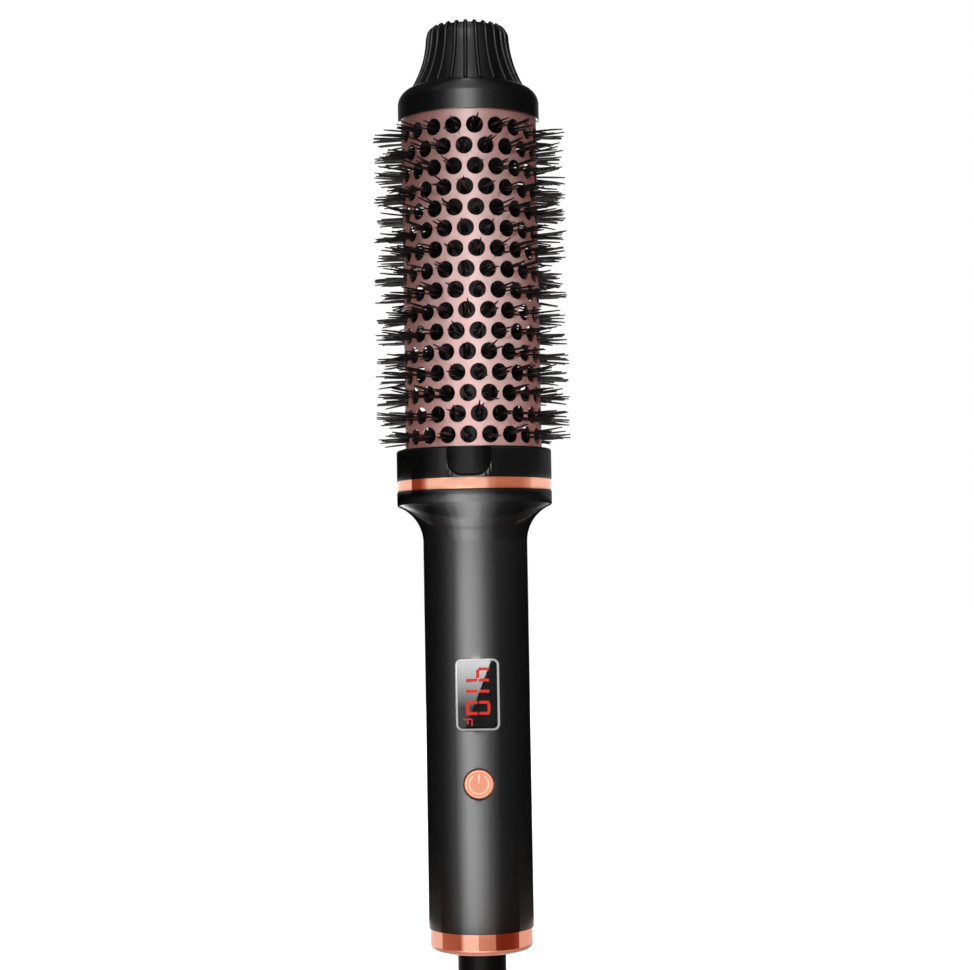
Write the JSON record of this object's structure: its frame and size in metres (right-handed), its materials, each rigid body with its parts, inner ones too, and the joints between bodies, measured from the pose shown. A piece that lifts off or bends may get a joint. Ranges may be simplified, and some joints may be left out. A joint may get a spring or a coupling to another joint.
{
  "type": "heated round styling brush",
  "caption": "Heated round hair brush: ribbed cool tip, perforated metal barrel with nylon bristle tufts, collar, round grip with display and push button, turning cord gland.",
  "frame": {"origin": "on the brush's axis, half way along the straight cylindrical grip", "axes": "+Z along the brush towards the cool tip; -Y is the front, which the display, the power button and the collar's scoop face; +X is to the right of a viewer who faces the front with the tip up"},
  "size_m": [0.0586, 0.0586, 0.2863],
  "materials": {
    "casing_plastic": "satin black moulded ABS",
    "tip_plastic": "satin black heat-resistant moulded plastic",
    "rose_plate": "rose-gold plated ABS, polished",
    "barrel_coating": "dusty-rose metallic coating on aluminium tube",
    "bristle_nylon": "black heat-resistant nylon",
    "core_aluminium": "extruded, plain",
    "screw_steel": "zinc-plated steel screws",
    "contact_brass": "plain stamped brass",
    "heater_ceramic": "fired ceramic, opaque",
    "film_amber": "polyimide film",
    "insulator_phenolic": "moulded heat-resistant insulator",
    "display_glass": "smoked clear pane",
    "frame_silver": "polished silver frame",
    "module_black": "black display body",
    "board_laminate": "green glass-fibre laminate",
    "component_black": "moulded epoxy",
    "capacitor_yellow": "boxed film capacitor",
    "capacitor_can": "sleeved aluminium can",
    "wire_silicone": "silicone insulated wire"
  },
  "bodies": {
    "brush": {"tip_knob": "tip_plastic", "tip_band": "tip_plastic", "barrel_tube": "barrel_coating", "bristle_strips": "bristle_nylon", "heater_core": "core_aluminium", "upper_heat_ring": "core_aluminium", "lower_heat_ring": "core_aluminium", "ptc_chips": "heater_ceramic", "electrode_plates": "contact_brass", "insulating_film": "film_amber", "clamp_wedge": "core_aluminium", "thermistor": "component_black", "thermal_fuse": "core_aluminium", "upper_core_screws": "screw_steel", "lower_core_screws": "screw_steel", "insulator_disc": "insulator_phenolic", "collar": "tip_plastic", "trim_ring": "rose_plate", "front_shell": "casing_plastic", "rear_shell": "casing_plastic", "shell_screws": "screw_steel", "display_frame": "frame_silver", "display_lens": "display_glass", "display_module": "module_black", "main_board": "board_laminate", "board_screws": "screw_steel", "film_capacitor": "capacitor_yellow", "filter_capacitor": "capacitor_can", "triac": "component_black", "control_chip": "component_black", "tact_switch": "component_black", "end_cap": "rose_plate", "swivel_housing": "component_black", "contact_springs": "contact_brass", "supply_leads": "wire_silicone", "heater_leads": "wire_silicone", "sensor_lead": "wire_silicone"},
    "button": {"power_button": "rose_plate", "switch_plunger": "component_black"},
    "gland": {"swivel_gland": "casing_plastic", "slip_rings": "contact_brass"}
  },
  "joints": [
    {"name": "power_button_press", "type": "slide", "parent": "brush", "child": "button", "axis": [0, 1, 0], "range_m": [0, 0.0005], "stiffness_N_per_m": 400, "springref_m": -0.001},
    {"name": "cord_gland_turn", "type": "hinge", "parent": "brush", "child": "gland", "pos_m": [0, 0, -0.0638], "axis": [0, 0, 1], "continuous": true}
  ]
}
